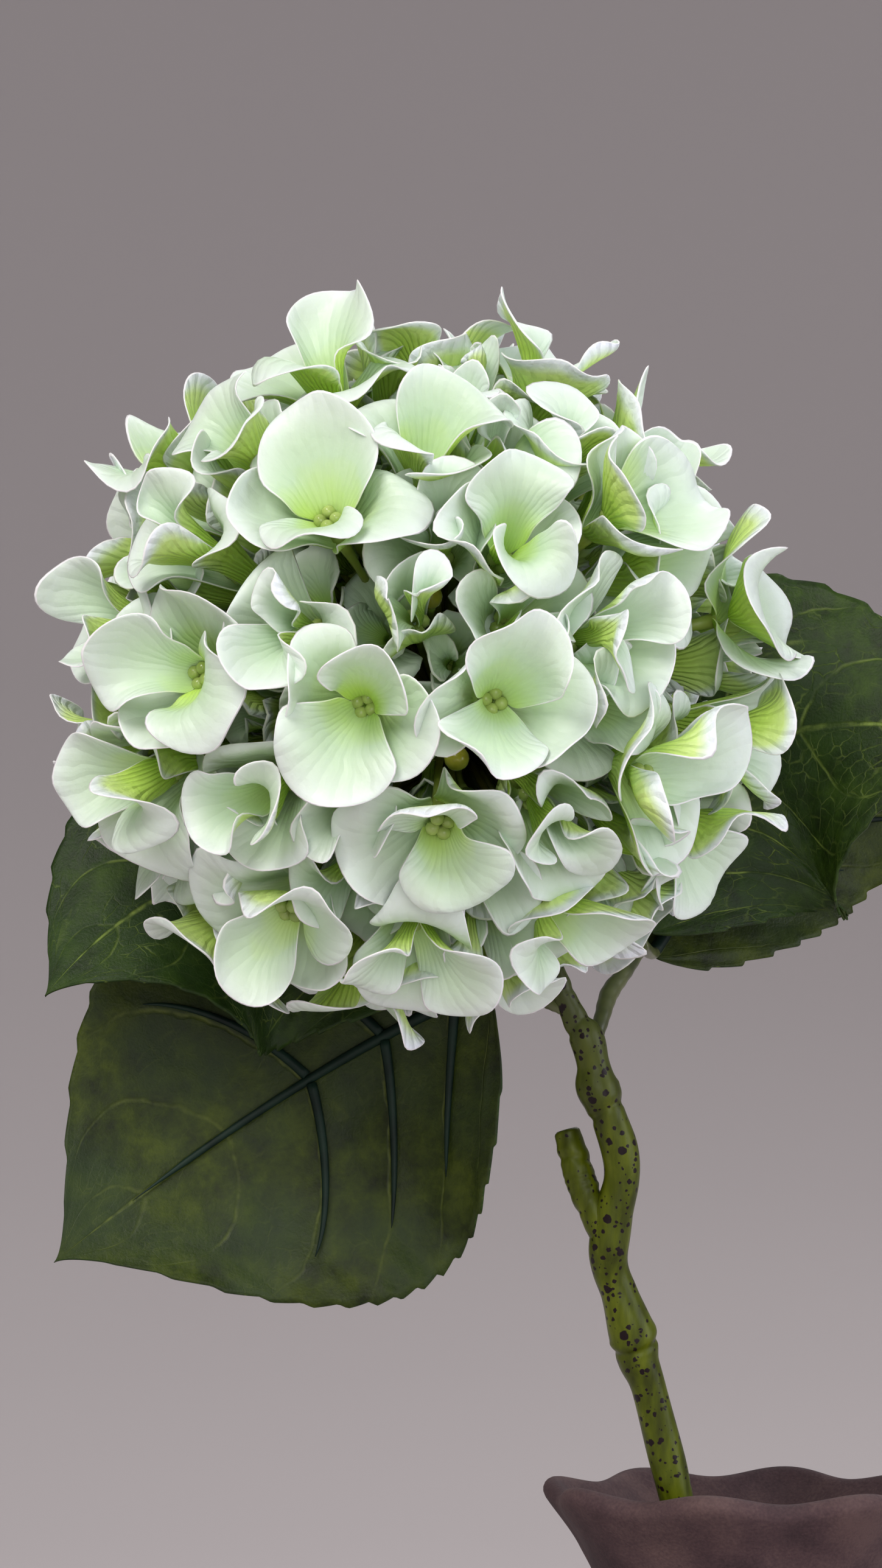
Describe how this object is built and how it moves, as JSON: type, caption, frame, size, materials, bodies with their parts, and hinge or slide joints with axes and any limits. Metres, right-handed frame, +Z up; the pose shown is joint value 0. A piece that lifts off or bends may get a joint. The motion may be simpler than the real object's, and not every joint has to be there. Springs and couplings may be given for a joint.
{
  "type": "hydrangea bloom with leaves in a vase",
  "caption": "Round white-green hydrangea bloom with large toothed leaves on a forked woody stem, standing in a round-bodied stoneware vase with a lobed, flared rim.",
  "frame": {"origin": "centre of the vase's foot, on the surface that it stands on", "axes": "+Z up along the vase's axis, the picture's viewer looks along +Y, and +X is to the viewer's right"},
  "size_m": [0.2272, 0.1941, 0.4356],
  "materials": {
    "stoneware": "matte unglazed, fine grit",
    "stem": "satin, speckled with dark red-brown",
    "twig": "satin",
    "leaf": "satin with raised ribs and a fine net of veins",
    "petal": "soft matte, white rims and a yellow-green throat"
  },
  "bodies": {
    "root": {"vase": "stoneware", "stem": "stem", "left_twig": "twig", "right_twig": "twig", "leaf_lower_left": "leaf", "leaf_upper_left": "leaf", "leaf_upper_right": "leaf", "leaf_lower_right": "leaf", "bloom": "petal"}
  },
  "joints": []
}
